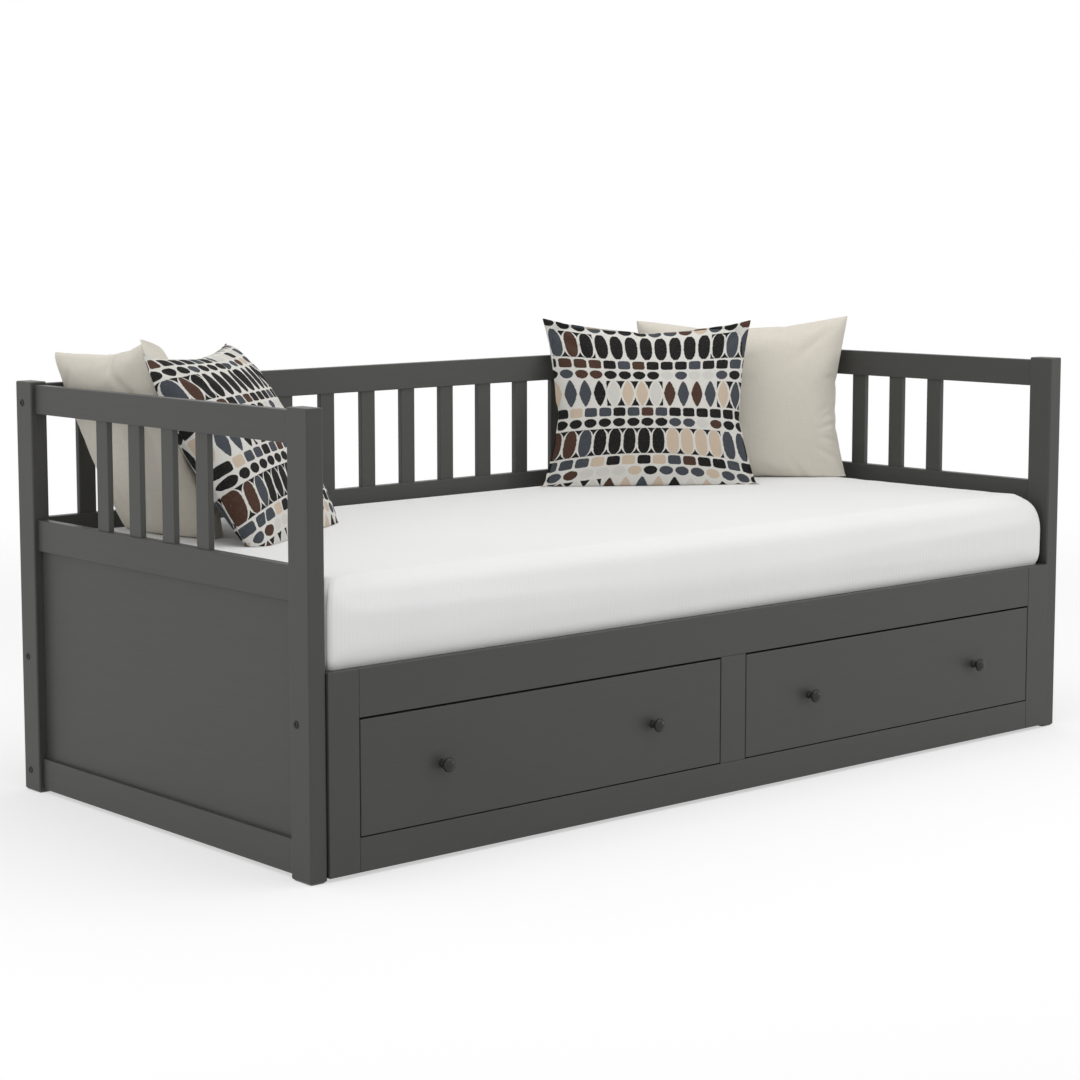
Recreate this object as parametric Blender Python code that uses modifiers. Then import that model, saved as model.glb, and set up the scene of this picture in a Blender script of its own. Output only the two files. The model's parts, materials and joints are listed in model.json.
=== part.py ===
"""A storage daybed: a painted wooden bed slatted on three sides, with two drawers
in its front, a slatted base, a mattress and four cushions.

Units are metres and +Z is up. The bed's length runs along X and its front faces -Y.
The sizes below are measured from the posts' outer and front faces. The model's origin
is on the floor, in the middle of everything.
"""

import math

import bmesh
import bpy
from mathutils import Matrix, Vector

# Fits shared by all pieces
SEAT_GAP = 0.0003
CUT_OVERRUN = 0.002
MERGE_DISTANCE = 0.00005
EDGE_ROUND = 0.0015
INNER_CHAMFER = 0.0010

# Overall size, over the four posts
LENGTH = 2.000
DEPTH = 0.930
HEIGHT = 0.795

# Posts
POST_WIDTH = 0.035
POST_DEPTH = 0.055
POST_ROUND = 0.0025
FOOT_CHAMFER = 0.004

# End panels: three rails between two posts, a flat panel below and slats above
RAIL_THICKNESS = 0.020
RAIL_INSET = 0.009
TOP_RAIL_DROP = 0.006
TOP_RAIL_HEIGHT = 0.055
MID_RAIL_TOP = 0.531
MID_RAIL_HEIGHT = 0.060
LOW_RAIL_BOTTOM = 0.007
LOW_RAIL_HEIGHT = 0.060
PANEL_THICKNESS = 0.008
PANEL_INSET = 0.018
PANEL_HOUSING = 0.008
SLAT_WIDTH = 0.038
SLAT_THICKNESS = 0.012
SLAT_HOUSING = 0.008
END_SLAT_COUNT = 4
END_SLAT_PITCH = 0.108
END_SLAT_SHIFT = 0.019

# Back: rails between the rear posts, with a middle field of slats and two outer ones
BACK_RAIL_INSET = 0.005
BACK_LOW_RAIL_BOTTOM = 0.012
BACK_FIELD_COUNT = 8
BACK_FIELD_PITCH = 0.1082
BACK_OUTER_COUNT = 4
BACK_FIRST_SLAT = 0.143

# Rails that carry the slatted base
BED_RAIL_THICKNESS = 0.0265
BED_RAIL_HEIGHT = 0.100
BED_RAIL_BOTTOM = 0.219

# Front frame round the two drawer openings
FRAME_THICKNESS = 0.022
FRAME_PROUD = 0.004
FRAME_SIDE_GAP = 0.002
FRAME_BOTTOM = 0.007
FRAME_TOP = 0.355
FRAME_STILE_WIDTH = 0.0645
FRAME_TOP_RAIL_HEIGHT = 0.083
FRAME_LOW_RAIL_HEIGHT = 0.0595
CENTRE_STILE_WIDTH = 0.0665
FRAME_ROUND = 0.0010

# Boards behind the front frame, and the strips on them that the drawers run on
RUNNER_BOARD_THICKNESS = 0.018
RUNNER_BOARD_BOTTOM = 0.012
STRIP_HEIGHT = 0.017
STRIP_LENGTH = 0.680
STRIP_SETBACK = 0.030
STRIP_END_CLEARANCE = 0.0008

# Drawers
DRAWER_SIDE_GAP = 0.002
DRAWER_TOP_GAP = 0.0035
DRAWER_BOTTOM_GAP = 0.002
DRAWER_FRONT_THICKNESS = 0.018
BOX_SIDE_THICKNESS = 0.015
BOX_BACK_THICKNESS = 0.012
BOX_BACK_DROP = 0.008
BOX_CLEARANCE = 0.005
BOX_RISE = 0.0135
BOX_HEIGHT = 0.125
BOX_LENGTH = 0.730
BOTTOM_THICKNESS = 0.006
BOTTOM_RISE = 0.012
BOTTOM_HOUSING = 0.006
GROOVE_DEPTH = 0.008
GROOVE_RISE = 0.055
GROOVE_CLEARANCE = 0.001

# Knobs
KNOB_SPACING = 0.505
KNOB_HEAD_RADIUS = 0.013
KNOB_HEAD_DEPTH = 0.0135
KNOB_RIM_SHARE = 0.30
KNOB_STEM_RADIUS = 0.0055
KNOB_FOOT_RADIUS = 0.0075
KNOB_REACH = 0.0265
KNOB_FOOT_DEPTH = 0.003
KNOB_STEPS = 18
KNOB_CROWN_STEPS = 5
KNOB_RIM_STEPS = 3

# Slatted base
BASE_SLAT_COUNT = 13
BASE_SLAT_WIDTH = 0.070
BASE_SLAT_THICKNESS = 0.018
BASE_END_GAP = 0.018
BASE_FRONT_GAP = 0.003
BASE_REAR_GAP = 0.008
TAPE_WIDTH = 0.030
TAPE_THICKNESS = 0.002
TAPE_INSET = 0.230

# Mattress
MATTRESS_TOP = 0.505
MATTRESS_END_GAP = 0.010
MATTRESS_REAR_GAP = 0.003
MATTRESS_FRONT_BULGE = 0.0125
MATTRESS_EDGE = 0.060
MATTRESS_CROWN = 0.002
MATTRESS_TUCK = 0.0145
MATTRESS_CELLS = 6
MATTRESS_TUCK_FROM_SHARE = 0.35

# Cushions: how they are stuffed
CUSHION_THICKNESS = 0.145
CUSHION_SINK = 0.056
CUSHION_SOFTNESS = 0.005
CUSHION_DRAW_SHARE = 0.13
CUSHION_CROWN_POWER = 0.45
CUSHION_CELLS = 10

# How each cushion is squeezed and stands: its width and height between its corners, its
# foot from the nearest end and from the back, how much wider its foot is than its top,
# and its heading, lean and roll in degrees
LEFT_PLAIN_WIDTH = 0.362
LEFT_PLAIN_HEIGHT = 0.449
LEFT_PLAIN_FROM_END = 0.204
LEFT_PLAIN_FROM_BACK = 0.200
LEFT_PLAIN_SPREAD_SHARE = -0.24
LEFT_PLAIN_TURNS = (94, 18, -8)
LEFT_PATTERNED_WIDTH = 0.485
LEFT_PATTERNED_HEIGHT = 0.471
LEFT_PATTERNED_FROM_END = 0.360
LEFT_PATTERNED_FROM_BACK = 0.377
LEFT_PATTERNED_SPREAD_SHARE = -0.03
LEFT_PATTERNED_TURNS = (33, 31, 3)
RIGHT_PLAIN_WIDTH = 0.497
RIGHT_PLAIN_HEIGHT = 0.418
RIGHT_PLAIN_FROM_END = 0.210
RIGHT_PLAIN_FROM_BACK = 0.199
RIGHT_PLAIN_SPREAD_SHARE = 0.0
RIGHT_PLAIN_TURNS = (-47, 8, 1)
RIGHT_PATTERNED_WIDTH = 0.478
RIGHT_PATTERNED_HEIGHT = 0.437
RIGHT_PATTERNED_FROM_END = 0.503
RIGHT_PATTERNED_FROM_BACK = 0.220
RIGHT_PATTERNED_SPREAD_SHARE = 0.04
RIGHT_PATTERNED_TURNS = (-35, 15, -1)

# The plane between the two cushions of each end: how far it stands before the middle of
# the plain one, and its heading and lean in degrees
LEFT_TOUCH_REACH = 0.105
LEFT_TOUCH_TURNS = (37, 13)
RIGHT_TOUCH_REACH = 0.086
RIGHT_TOUCH_TURNS = (-51, 0)

# Heights and places that follow from the sizes above
HALF_LENGTH = LENGTH / 2
TOP_RAIL_TOP = HEIGHT - TOP_RAIL_DROP
TOP_RAIL_BOTTOM = TOP_RAIL_TOP - TOP_RAIL_HEIGHT
MID_RAIL_BOTTOM = MID_RAIL_TOP - MID_RAIL_HEIGHT
LOW_RAIL_TOP = LOW_RAIL_BOTTOM + LOW_RAIL_HEIGHT
BACK_RAIL_REAR = DEPTH - BACK_RAIL_INSET
BACK_RAIL_FRONT = BACK_RAIL_REAR - RAIL_THICKNESS
FRAME_FRONT = -FRAME_PROUD
FRAME_BACK = FRAME_FRONT + FRAME_THICKNESS
OPENING_BOTTOM = FRAME_BOTTOM + FRAME_LOW_RAIL_HEIGHT
OPENING_TOP = FRAME_TOP - FRAME_TOP_RAIL_HEIGHT
OPENING_OUTER = HALF_LENGTH - POST_WIDTH - FRAME_SIDE_GAP - FRAME_STILE_WIDTH
OPENING_INNER = CENTRE_STILE_WIDTH / 2
BED_RAIL_TOP = BED_RAIL_BOTTOM + BED_RAIL_HEIGHT
BASE_BOTTOM = BED_RAIL_TOP + SEAT_GAP
BASE_TOP = BASE_BOTTOM + BASE_SLAT_THICKNESS
DRAWER_BACK_FACE = FRAME_FRONT + DRAWER_FRONT_THICKNESS
BOX_BOTTOM = OPENING_BOTTOM + BOX_RISE
BOX_TOP = BOX_BOTTOM + BOX_HEIGHT
BOX_FRONT = DRAWER_BACK_FACE + SEAT_GAP
BOX_REAR = BOX_FRONT + BOX_LENGTH
GROOVE_BOTTOM = BOX_BOTTOM + GROOVE_RISE
GROOVE_TOP = GROOVE_BOTTOM + STRIP_HEIGHT + GROOVE_CLEARANCE
STRIP_TOP = GROOVE_TOP - SEAT_GAP
STRIP_FRONT = FRAME_BACK + BED_RAIL_THICKNESS + STRIP_SETBACK
FRONTMOST = FRAME_FRONT - SEAT_GAP - KNOB_REACH
MIDDLE_DEPTH = (FRONTMOST + DEPTH) / 2


def clear_scene():
    """Remove whatever the scene holds."""
    for item in list(bpy.data.objects):
        bpy.data.objects.remove(item, do_unlink=True)


def new_collection(name):
    """Return a new collection linked to the scene."""
    group = bpy.data.collections.new(name)
    bpy.context.scene.collection.children.link(group)
    return group


def principled(name, color, roughness, metallic=0.0):
    """Return a material with one plain finish."""
    material = bpy.data.materials.new(name)
    material.use_nodes = True
    shader = material.node_tree.nodes["Principled BSDF"]
    shader.inputs["Base Color"].default_value = (*color, 1.0)
    shader.inputs["Roughness"].default_value = roughness
    shader.inputs["Metallic"].default_value = metallic
    material.diffuse_color = (*color, 1.0)
    return material


clear_scene()
BED = new_collection("Storage daybed")
CUTTERS = new_collection("Cutters")
GREY_PAINT = principled("grey paint", (0.080, 0.080, 0.074), 0.45)
KNOB_PAINT = principled("knob paint", (0.042, 0.042, 0.040), 0.35)
BARE_WOOD = principled("bare wood", (0.62, 0.45, 0.28), 0.60)
WHITE_TICKING = principled("white ticking", (0.76, 0.76, 0.75), 0.90)
BEIGE_CLOTH = principled("beige cloth", (0.60, 0.55, 0.49), 0.90)
PATTERNED_CLOTH = principled("patterned cloth", (0.42, 0.40, 0.37), 0.90)


def add_object(name, mesh, centre, material, parent=None):
    """Put a mesh into the bed's collection with its origin at centre."""
    item = bpy.data.objects.new(name, mesh)
    mesh.materials.append(material)
    BED.objects.link(item)
    item.location = centre
    if parent is not None:
        item.parent = parent
        item.location = centre - parent.location
    return item


def box_mesh(name, size):
    """Return a box mesh centred on its own origin."""
    bm = bmesh.new()
    bmesh.ops.create_cube(bm, size=1.0)
    bmesh.ops.scale(bm, vec=size, verts=bm.verts)
    mesh = bpy.data.meshes.new(name)
    bm.to_mesh(mesh)
    bm.free()
    return mesh


def middle(span):
    """Return the middle of a (low, high) span."""
    return (span[0] + span[1]) / 2


def box_frame(x, y, z):
    """Return the centre, in the model's frame, and the size of a box of three spans."""
    centre = Vector((middle(x), middle(y) - MIDDLE_DEPTH, middle(z)))
    size = Vector((x[1] - x[0], y[1] - y[0], z[1] - z[0]))
    return centre, size


def round_edges(item, width, facets=2):
    """Round every square edge a little."""
    bevel = item.modifiers.new("Rounded edges", "BEVEL")
    bevel.width = width
    bevel.segments = facets
    bevel.limit_method = "ANGLE"
    bevel.angle_limit = math.radians(60)


def board(name, x, y, z, material=GREY_PAINT, parent=None, rounding=EDGE_ROUND, facets=2):
    """Make a board with rounded edges that fills the spans x, y and z."""
    centre, size = box_frame(x, y, z)
    item = add_object(name, box_mesh(name, size), centre, material, parent)
    round_edges(item, rounding, facets)
    return item


def inner_board(name, x, y, z, material=GREY_PAINT, parent=None):
    """Make a board inside the bed, with plain chamfered edges."""
    return board(name, x, y, z, material, parent, INNER_CHAMFER, facets=1)


def boxes_mesh(name, boxes, origin):
    """Return one mesh of several boxes, each given as three spans, measured from an origin."""
    bm = bmesh.new()
    for x, y, z in boxes:
        centre, size = box_frame(x, y, z)
        place = Matrix.Translation(centre - origin) @ Matrix.Diagonal(size).to_4x4()
        bmesh.ops.create_cube(bm, size=1.0, matrix=place)
    mesh = bpy.data.meshes.new(name)
    bm.to_mesh(mesh)
    bm.free()
    return mesh


def cutter(name, boxes):
    """Make a hidden body out of several boxes, each given as three spans."""
    item = bpy.data.objects.new(name, boxes_mesh(name, boxes, Vector()))
    CUTTERS.objects.link(item)
    item.hide_render = True
    item.display_type = "WIRE"
    return item


def combine(item, other, operation):
    """Cut another body from an item, or join it on."""
    boolean = item.modifiers.new(operation.title(), "BOOLEAN")
    boolean.operation = operation
    boolean.solver = "EXACT"
    boolean.object = other


def grown(span, amount=SEAT_GAP):
    """Return a span that is wider by the same amount at both ends."""
    return (span[0] - amount, span[1] + amount)


def shrunk(low, high):
    """Return the span between two faces, less the gap that a seated piece keeps."""
    return (low + SEAT_GAP, high - SEAT_GAP)


def end_span(side, outer, inner):
    """Return the X span between two insets from the outer face of one end's posts."""
    edges = (side * (HALF_LENGTH - outer), side * (HALF_LENGTH - inner))
    return (min(edges), max(edges))


def post(name, side, front, pocket):
    """Make a post with chamfered foot and a groove for the end panel."""
    y = (0.0, POST_DEPTH) if front else (DEPTH - POST_DEPTH, DEPTH)
    item = board(name, end_span(side, 0.0, POST_WIDTH), y, (0.0, HEIGHT), rounding=POST_ROUND)
    bm = bmesh.new()
    bm.from_mesh(item.data)
    foot = [edge for edge in bm.edges if all(vert.co.z < 0 for vert in edge.verts)]
    bmesh.ops.bevel(bm, geom=foot, offset=FOOT_CHAMFER, segments=1, affect="EDGES")
    bm.to_mesh(item.data)
    bm.free()
    combine(item, pocket, "DIFFERENCE")


def end_slat_spans(side):
    """Return the spans of each slat of one end, housed in the rails above and below."""
    centre_inset = RAIL_INSET + RAIL_THICKNESS / 2
    x = end_span(side, centre_inset - SLAT_THICKNESS / 2, centre_inset + SLAT_THICKNESS / 2)
    z = (MID_RAIL_TOP - SLAT_HOUSING, TOP_RAIL_BOTTOM + SLAT_HOUSING)
    group = DEPTH / 2 + END_SLAT_SHIFT
    spans = []
    for index in range(END_SLAT_COUNT):
        y = group + (index - (END_SLAT_COUNT - 1) / 2) * END_SLAT_PITCH
        spans.append((x, (y - SLAT_WIDTH / 2, y + SLAT_WIDTH / 2), z))
    return spans


def end_panel(label, side):
    """Make one end: two posts, three rails, the panel and the slats."""
    between_posts = shrunk(POST_DEPTH, DEPTH - POST_DEPTH)
    rail_x = end_span(side, RAIL_INSET, RAIL_INSET + RAIL_THICKNESS)
    panel = (
        end_span(side, PANEL_INSET, PANEL_INSET + PANEL_THICKNESS),
        (POST_DEPTH - PANEL_HOUSING, DEPTH - POST_DEPTH + PANEL_HOUSING),
        (LOW_RAIL_TOP - PANEL_HOUSING, MID_RAIL_BOTTOM + PANEL_HOUSING),
    )
    slats = end_slat_spans(side)
    panel_groove = cutter(f"{label}_panel_groove", [[grown(span) for span in panel]])
    mortises = cutter(
        f"{label}_slat_mortises", [[grown(span) for span in slat] for slat in slats]
    )
    post(f"post_front_{label}", side, True, panel_groove)
    post(f"post_rear_{label}", side, False, panel_groove)
    top = board(f"end_{label}_top_rail", rail_x, between_posts, (TOP_RAIL_BOTTOM, TOP_RAIL_TOP))
    combine(top, mortises, "DIFFERENCE")
    mid = board(f"end_{label}_mid_rail", rail_x, between_posts, (MID_RAIL_BOTTOM, MID_RAIL_TOP))
    combine(mid, mortises, "DIFFERENCE")
    combine(mid, panel_groove, "DIFFERENCE")
    low = board(f"end_{label}_low_rail", rail_x, between_posts, (LOW_RAIL_BOTTOM, LOW_RAIL_TOP))
    combine(low, panel_groove, "DIFFERENCE")
    inner_board(f"end_{label}_panel", *panel)
    for index, slat in enumerate(slats):
        board(f"end_{label}_slat_{index + 1}", *slat)


def back_slat_centres():
    """Return where the back's slats stand along X, the middle field first."""
    centres = [(index + 0.5) * BACK_FIELD_PITCH for index in range(BACK_FIELD_COUNT // 2)]
    last = centres[-1]
    outer_pitch = (HALF_LENGTH - BACK_FIRST_SLAT - last) / BACK_OUTER_COUNT
    for index in range(BACK_OUTER_COUNT):
        centres.append(last + (index + 1) * outer_pitch)
    return [side * centre for centre in centres for side in (-1, 1)]


def back():
    """Make the back: three rails between the posts, with the slats on the middle one."""
    x = shrunk(POST_WIDTH - HALF_LENGTH, HALF_LENGTH - POST_WIDTH)
    y = (BACK_RAIL_FRONT, BACK_RAIL_REAR)
    slat_y = grown((middle(y), middle(y)), SLAT_THICKNESS / 2)
    slat_z = (MID_RAIL_TOP - SLAT_HOUSING, TOP_RAIL_BOTTOM + SLAT_HOUSING)
    slats = [
        (grown((centre, centre), SLAT_WIDTH / 2), slat_y, slat_z)
        for centre in back_slat_centres()
    ]
    top = board("back_top_rail", x, y, (TOP_RAIL_BOTTOM, TOP_RAIL_TOP))
    mortises = cutter("back_slat_mortises", [[grown(span) for span in slat] for slat in slats])
    combine(top, mortises, "DIFFERENCE")
    mid = board("back_mid_rail_and_slats", x, y, (MID_RAIL_BOTTOM, MID_RAIL_TOP))
    standing = cutter("back_slats", slats)
    round_edges(standing, EDGE_ROUND, facets=1)
    combine(mid, standing, "UNION")
    low_top = BACK_LOW_RAIL_BOTTOM + LOW_RAIL_HEIGHT
    inner_board("back_low_rail", x, y, (BACK_LOW_RAIL_BOTTOM, low_top))


def bed_rails():
    """Make the two rails that carry the slatted base."""
    x = shrunk(POST_WIDTH - HALF_LENGTH, HALF_LENGTH - POST_WIDTH)
    z = (BED_RAIL_BOTTOM, BED_RAIL_TOP)
    front_y = FRAME_BACK + SEAT_GAP
    inner_board("bed_rail_front", x, (front_y, front_y + BED_RAIL_THICKNESS), z)
    inner_board("bed_rail_back", x, (BACK_RAIL_REAR - BED_RAIL_THICKNESS, BACK_RAIL_REAR), z)


def front_frame():
    """Make the frame round the drawers: outer stiles, two rails and a centre stile."""
    y = (FRAME_FRONT, FRAME_BACK)
    outer = HALF_LENGTH - POST_WIDTH - FRAME_SIDE_GAP
    for label, side in (("left", -1), ("right", 1)):
        x = tuple(sorted((side * OPENING_OUTER, side * outer)))
        board(f"frame_stile_{label}", x, y, (FRAME_BOTTOM, FRAME_TOP), rounding=FRAME_ROUND)
    rail_x = shrunk(-OPENING_OUTER, OPENING_OUTER)
    board("frame_top_rail", rail_x, y, (OPENING_TOP, FRAME_TOP), rounding=FRAME_ROUND)
    board("frame_low_rail", rail_x, y, (FRAME_BOTTOM, OPENING_BOTTOM), rounding=FRAME_ROUND)
    centre_x = (-OPENING_INNER, OPENING_INNER)
    centre_z = shrunk(OPENING_BOTTOM, OPENING_TOP)
    board("frame_stile_centre", centre_x, y, centre_z, rounding=FRAME_ROUND)


def runner_side(label, face, inward):
    """Make the board beside a drawer and its strip; face is the board's X next to the drawer."""
    board_x = tuple(sorted((face, face - inward * RUNNER_BOARD_THICKNESS)))
    board_y = shrunk(FRAME_BACK, BACK_RAIL_FRONT)
    board_z = (RUNNER_BOARD_BOTTOM, BED_RAIL_BOTTOM - SEAT_GAP)
    inner_board(f"runner_board_{label}", board_x, board_y, board_z, BARE_WOOD)
    reach = BOX_CLEARANCE + GROOVE_DEPTH - STRIP_END_CLEARANCE
    strip_x = tuple(sorted((face + inward * SEAT_GAP, face + inward * reach)))
    strip_y = (STRIP_FRONT, STRIP_FRONT + STRIP_LENGTH)
    strip_z = (STRIP_TOP - STRIP_HEIGHT, STRIP_TOP)
    inner_board(f"runner_strip_{label}", strip_x, strip_y, strip_z, BARE_WOOD)


def knob_profile():
    """Return the knob's outline as (radius, height) points, from its tip down to its foot."""
    rim = KNOB_HEAD_DEPTH * KNOB_RIM_SHARE
    crown = KNOB_HEAD_DEPTH - rim
    under = KNOB_REACH - KNOB_HEAD_DEPTH
    points = []
    for step in range(KNOB_CROWN_STEPS + 1):
        angle = math.pi / 2 * (1 - step / KNOB_CROWN_STEPS)
        radius = KNOB_HEAD_RADIUS * math.cos(angle)
        points.append((radius, KNOB_REACH - crown + crown * math.sin(angle)))
    reach = KNOB_HEAD_RADIUS - KNOB_STEM_RADIUS
    for step in range(KNOB_RIM_STEPS):
        angle = math.pi / 2 * (step + 1) / KNOB_RIM_STEPS
        radius = KNOB_STEM_RADIUS + reach * math.cos(angle)
        points.append((radius, under + rim * (1 - math.sin(angle))))
    points.append((KNOB_STEM_RADIUS, KNOB_FOOT_DEPTH * 2))
    points.append((KNOB_FOOT_RADIUS, KNOB_FOOT_DEPTH))
    points.append((KNOB_FOOT_RADIUS, 0.0))
    points.append((0.0, 0.0))
    return points


def knob(name, x, z, parent):
    """Turn one knob and stand it out from a drawer's front."""
    outline = knob_profile()
    mesh = bpy.data.meshes.new(name)
    edges = [(index, index + 1) for index in range(len(outline) - 1)]
    mesh.from_pydata([(radius, 0.0, height) for radius, height in outline], edges, [])
    place = Vector((x, FRAME_FRONT - SEAT_GAP - MIDDLE_DEPTH, z))
    item = add_object(name, mesh, place, KNOB_PAINT, parent)
    item.rotation_euler.x = math.radians(90)
    screw = item.modifiers.new("Turned", "SCREW")
    screw.steps = KNOB_STEPS
    screw.render_steps = KNOB_STEPS
    screw.use_merge_vertices = True
    screw.merge_threshold = MERGE_DISTANCE
    screw.use_smooth_shade = True


def drawer(label, opening):
    """Make one drawer in the (low, high) opening: front, box, bottom and two knobs."""
    slide = bpy.data.objects.new(f"drawer_{label}_slide", None)
    slide.location = (middle(opening), FRAME_FRONT - MIDDLE_DEPTH, middle((BOX_BOTTOM, BOX_TOP)))
    BED.objects.link(slide)

    front_x = (opening[0] + DRAWER_SIDE_GAP, opening[1] - DRAWER_SIDE_GAP)
    front_z = (OPENING_BOTTOM + DRAWER_BOTTOM_GAP, OPENING_TOP - DRAWER_TOP_GAP)
    box_x = (opening[0] + BOX_CLEARANCE, opening[1] - BOX_CLEARANCE)
    inside_x = (box_x[0] + BOX_SIDE_THICKNESS, box_x[1] - BOX_SIDE_THICKNESS)
    back_front = BOX_REAR - BOX_BACK_THICKNESS
    bottom_z = BOX_BOTTOM + BOTTOM_RISE
    bottom = (
        grown(inside_x, BOTTOM_HOUSING),
        (DRAWER_BACK_FACE - BOTTOM_HOUSING, back_front + BOTTOM_HOUSING),
        (bottom_z, bottom_z + BOTTOM_THICKNESS),
    )
    bottom_groove = cutter(f"drawer_{label}_bottom_groove", [[grown(span) for span in bottom]])
    groove_y = (STRIP_FRONT - SEAT_GAP, BOX_REAR + CUT_OVERRUN)
    groove_z = (GROOVE_BOTTOM, GROOVE_TOP)
    grooves = cutter(
        f"drawer_{label}_runner_grooves",
        [
            ((box_x[0] - CUT_OVERRUN, box_x[0] + GROOVE_DEPTH), groove_y, groove_z),
            ((box_x[1] - GROOVE_DEPTH, box_x[1] + CUT_OVERRUN), groove_y, groove_z),
        ],
    )

    front = board(
        f"drawer_{label}_front", front_x, (FRAME_FRONT, DRAWER_BACK_FACE), front_z, parent=slide
    )
    combine(front, bottom_groove, "DIFFERENCE")
    side_y = (BOX_FRONT, BOX_REAR)
    side_z = (BOX_BOTTOM, BOX_TOP)
    for hand, x in (("left", (box_x[0], inside_x[0])), ("right", (inside_x[1], box_x[1]))):
        side = inner_board(f"drawer_{label}_side_{hand}", x, side_y, side_z, parent=slide)
        combine(side, bottom_groove, "DIFFERENCE")
        combine(side, grooves, "DIFFERENCE")
    rear = inner_board(
        f"drawer_{label}_back",
        shrunk(*inside_x),
        (back_front, BOX_REAR),
        (BOX_BOTTOM, BOX_TOP - BOX_BACK_DROP),
        parent=slide,
    )
    combine(rear, bottom_groove, "DIFFERENCE")
    inner_board(f"drawer_{label}_bottom", *bottom, parent=slide)
    for hand, side in (("left", -1), ("right", 1)):
        knob_x = middle(opening) + side * KNOB_SPACING / 2
        knob(f"drawer_{label}_knob_{hand}", knob_x, middle(front_z), slide)


def slatted_base():
    """Make the loose base: slats across the bed, joined by two tapes under them."""
    reach = HALF_LENGTH - POST_WIDTH - BASE_END_GAP
    pitch = (2 * reach - BASE_SLAT_WIDTH) / (BASE_SLAT_COUNT - 1)
    y = (FRAME_BACK + BASE_FRONT_GAP, BACK_RAIL_REAR - BASE_REAR_GAP)
    boxes = []
    for index in range(BASE_SLAT_COUNT):
        low = index * pitch - reach
        boxes.append(((low, low + BASE_SLAT_WIDTH), y, (BASE_BOTTOM, BASE_TOP)))
    tape_z = (BASE_BOTTOM - TAPE_THICKNESS, BASE_BOTTOM + SEAT_GAP)
    tapes = [
        ((-reach + SEAT_GAP, reach - SEAT_GAP), grown((line, line), TAPE_WIDTH / 2), tape_z)
        for line in (y[0] + TAPE_INSET, y[1] - TAPE_INSET)
    ]
    centre, _ = box_frame(*boxes[0])
    mesh = boxes_mesh("slatted_base", boxes, centre)
    item = add_object("slatted_base", mesh, centre, BARE_WOOD)
    combine(item, cutter("base_tapes", tapes), "UNION")


def smooth_form(item):
    """Smooth a coarse cage into a soft form."""
    smooth = item.modifiers.new("Soft form", "SUBSURF")
    smooth.levels = 1
    smooth.render_levels = 1
    item.data.shade_smooth()


def smoothed(cage):
    """Return the soft mesh that a coarse cage mesh makes, and remove the cage."""
    item = bpy.data.objects.new("cage", cage)
    BED.objects.link(item)
    smooth_form(item)
    view = bpy.context.evaluated_depsgraph_get()
    soft = bpy.data.meshes.new_from_object(item.evaluated_get(view))
    bpy.data.objects.remove(item, do_unlink=True)
    return soft


def edge_share(share):
    """Return how far a place lies into the cage's outermost cell, from 0 to 1."""
    half_cells = MATTRESS_CELLS / 2
    return max(0.0, abs(share) * half_cells - half_cells + 1)


def mattress_station(share, half):
    """Return how far from the middle a cage line lies: dense at the edges, wide between."""
    flat = half - MATTRESS_EDGE
    inner_cells = MATTRESS_CELLS / 2 - 1
    inner = min(1.0, abs(share) * MATTRESS_CELLS / 2 / inner_cells)
    return math.copysign(flat * inner + MATTRESS_EDGE * edge_share(share), share)


def mattress():
    """Make the mattress: a crowned top, sides that swell low down, and tucked-in ends."""
    x = (POST_WIDTH + MATTRESS_END_GAP - HALF_LENGTH, HALF_LENGTH - POST_WIDTH - MATTRESS_END_GAP)
    y = (FRAME_BACK - MATTRESS_FRONT_BULGE, BACK_RAIL_FRONT - MATTRESS_REAR_GAP)
    z = (BASE_TOP + SEAT_GAP, MATTRESS_TOP)
    centre, size = box_frame(x, y, z)
    half = size / 2
    bm = bmesh.new()
    bmesh.ops.create_cube(bm, size=2.0)
    cuts = MATTRESS_CELLS - 1
    bmesh.ops.subdivide_edges(bm, edges=bm.edges, cuts=cuts, use_grid_fill=True)
    for vert in bm.verts:
        u, v, w = vert.co
        x_place = mattress_station(u, half.x)
        y_place = mattress_station(v, half.y)
        tuck = MATTRESS_TUCK if w < -MATTRESS_TUCK_FROM_SHARE else 0.0
        lean = MATTRESS_CROWN * w ** 2
        crown = MATTRESS_CROWN * max(0.0, w) * edge_share(max(abs(u), abs(v)))
        if abs(u) > 1 - MERGE_DISTANCE:
            x_place -= math.copysign(tuck + lean, u)
        if abs(v) > 1 - MERGE_DISTANCE:
            y_place -= math.copysign(tuck + lean, v)
        vert.co = (x_place, y_place, w * half.z - crown)
    mesh = bpy.data.meshes.new("mattress")
    bm.to_mesh(mesh)
    bm.free()
    smooth_form(add_object("mattress", mesh, centre, WHITE_TICKING))


def facing(heading, lean):
    """Return the turn of an upright sheet whose front looks along a heading and leans back."""
    turn = Matrix.Rotation(math.radians(heading), 4, "Z")
    return turn @ Matrix.Rotation(math.radians(90 - lean), 4, "X")


def cushion_place(side, from_end, from_back, height, turns):
    """Return the matrix of a cushion that stands on its lower edge on the mattress.

    The middle of that edge is measured from one end and from the back, and sinks in.
    """
    x = side * (HALF_LENGTH - POST_WIDTH - from_end)
    y = BACK_RAIL_FRONT - from_back - MIDDLE_DEPTH
    foot = Vector((x, y, MATTRESS_TOP - CUSHION_SINK))
    heading, lean, roll = turns
    face = facing(heading, lean) @ Matrix.Rotation(math.radians(roll), 4, "Z")
    up = face.col[1].to_3d()
    return Matrix.Translation(foot + up * (height / 2)) @ face


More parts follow.
